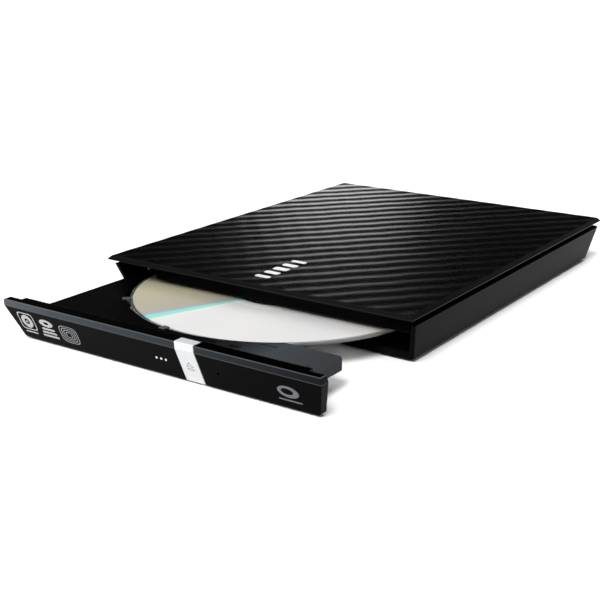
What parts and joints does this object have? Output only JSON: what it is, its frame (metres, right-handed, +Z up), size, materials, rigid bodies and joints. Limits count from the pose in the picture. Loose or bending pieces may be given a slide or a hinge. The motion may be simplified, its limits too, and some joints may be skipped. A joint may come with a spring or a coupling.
{
  "type": "external optical drive",
  "caption": "Slim portable optical disc drive: bevelled, ridged lid over a tapered base, tray part open with a disc, trapezoid front with an eject strip.",
  "frame": {"origin": "on the surface that the feet stand on, under the middle of the whole outline with the tray part open", "axes": "+Z up, the tray opens towards -Y, +X to the right seen from the front"},
  "size_m": [0.142, 0.2283, 0.0204],
  "materials": {
    "gloss_black": "high gloss moulded black",
    "patterned_black": "gloss black moulded with fine slanting ridges",
    "matte_black": "fine grained black",
    "silver_plastic": "satin silver paint",
    "feet_rubber": "soft black",
    "pad_foam": "dense foam",
    "zinc_sheet": "zinc coated sheet",
    "bright_steel": "bright",
    "circuit_board": "green solder mask",
    "chip_black": "moulded epoxy",
    "acetal": "natural white",
    "clear_pipe": "clear moulded",
    "lens_glass": "coated lens",
    "disc_silver": "clear plastic over a mirror layer",
    "ribbon": "white ribbon",
    "copper_coil": "enamelled copper wire"
  },
  "bodies": {
    "case": {"base_shell": "gloss_black", "lid_panel": "patterned_black", "top_cover": "gloss_black", "rubber_feet": "feet_rubber", "case_screws": "bright_steel", "foam_pads": "pad_foam", "bridge_board": "circuit_board", "board_chips": "chip_black", "board_screws": "bright_steel", "usb_socket": "bright_steel", "usb_tongue": "matte_black", "sata_plug": "matte_black", "drive_case": "zinc_sheet", "drive_cover": "zinc_sheet", "drive_bracket": "zinc_sheet", "bracket_screws": "bright_steel", "rear_board": "circuit_board", "sata_socket": "matte_black", "rail_guides": "acetal", "latch_pin": "bright_steel", "flat_cable": "ribbon"},
    "tray": {"tray": "matte_black", "disc_tabs": "matte_black", "front_bezel": "gloss_black", "light_pipe": "clear_pipe", "front_board": "circuit_board", "eject_switch": "matte_black", "latch_solenoid": "copper_coil", "main_board": "circuit_board", "main_chips": "chip_black", "plunger_guide": "matte_black", "eject_spring": "bright_steel", "traverse_frame": "zinc_sheet", "guide_rods": "bright_steel", "sled_motor": "bright_steel", "motor_base": "circuit_board"},
    "spindle": {"rotor": "bright_steel", "turntable": "acetal", "optical_disc": "disc_silver"},
    "pawl_1": {"clamp_pawl_1": "acetal"},
    "pawl_2": {"clamp_pawl_2": "acetal"},
    "pawl_3": {"clamp_pawl_3": "acetal"},
    "sled": {"pickup_sled": "matte_black", "laser_unit": "matte_black"},
    "lens_unit": {"lens_holder": "matte_black", "lens": "lens_glass"},
    "lead_screw": {"lead_screw": "bright_steel"},
    "left_rail": {"left_rail": "zinc_sheet"},
    "right_rail": {"right_rail": "zinc_sheet"},
    "eject_button": {"eject_button": "silver_plastic"},
    "emergency_lever": {"emergency_lever": "matte_black"},
    "latch": {"latch_hook": "matte_black"},
    "plunger": {"eject_plunger": "matte_black"}
  },
  "joints": [
    {"name": "tray_slide", "type": "slide", "parent": "case", "child": "tray", "axis": [0, -1, 0], "range_m": [-0.054, 0.085], "deforming": ["flat_cable"]},
    {"name": "left_rail_slide", "type": "slide", "parent": "case", "child": "left_rail", "axis": [0, -1, 0], "range_m": [-0.027, 0.0425]},
    {"name": "right_rail_slide", "type": "slide", "parent": "case", "child": "right_rail", "axis": [0, -1, 0], "range_m": [-0.027, 0.0425]},
    {"name": "spindle_spin", "type": "hinge", "parent": "tray", "child": "spindle", "pos_m": [0, -0.03545, 0.009], "axis": [0, 0, 1], "continuous": true},
    {"name": "sled_slide", "type": "slide", "parent": "tray", "child": "sled", "axis": [-0.7071, -0.7071, 0], "range_m": [0, 0.034]},
    {"name": "lead_screw_turn", "type": "hinge", "parent": "tray", "child": "lead_screw", "pos_m": [-0.00743, -0.07045, 0.0065], "axis": [-0.7071, -0.7071, 0], "range_deg": [0, 6130]},
    {"name": "lens_focus", "type": "slide", "parent": "sled", "child": "lens_unit", "axis": [0, 0, 1], "range_m": [-0.0003, 0.0003], "stiffness_N_per_m": 60},
    {"name": "eject_press", "type": "slide", "parent": "tray", "child": "eject_button", "axis": [0, 1, 0], "range_m": [0, 0.0006], "stiffness_N_per_m": 400},
    {"name": "emergency_press", "type": "slide", "parent": "tray", "child": "emergency_lever", "axis": [0, 1, 0], "range_m": [0, 0.0015], "stiffness_N_per_m": 100},
    {"name": "latch_turn", "type": "hinge", "parent": "tray", "child": "latch", "pos_m": [0.0165, -0.07685, 0.0054], "axis": [0, 0, -1], "range_deg": [0, 15], "stiffness_Nm_per_rad": 0.01},
    {"name": "plunger_press", "type": "slide", "parent": "tray", "child": "plunger", "axis": [0, -1, 0], "range_m": [0, 0.008], "stiffness_N_per_m": 60, "deforming": ["eject_spring"]},
    {"name": "pawl_1_press", "type": "slide", "parent": "spindle", "child": "pawl_1", "axis": [-0.7071, -0.7071, 0], "range_m": [-0.0008, 0], "stiffness_N_per_m": 150},
    {"name": "pawl_2_press", "type": "slide", "parent": "spindle", "child": "pawl_2", "axis": [0.9659, -0.2588, 0], "range_m": [-0.0008, 0], "stiffness_N_per_m": 150},
    {"name": "pawl_3_press", "type": "slide", "parent": "spindle", "child": "pawl_3", "axis": [-0.2588, 0.9659, 0], "range_m": [-0.0008, 0], "stiffness_N_per_m": 150}
  ],
  "couplings": [
    {"joint": "left_rail_slide", "follows": "tray_slide", "ratio": 0.5},
    {"joint": "right_rail_slide", "follows": "tray_slide", "ratio": 0.5},
    {"joint": "lead_screw_turn", "follows": "sled_slide", "rad_per_m": 3141.6}
  ]
}
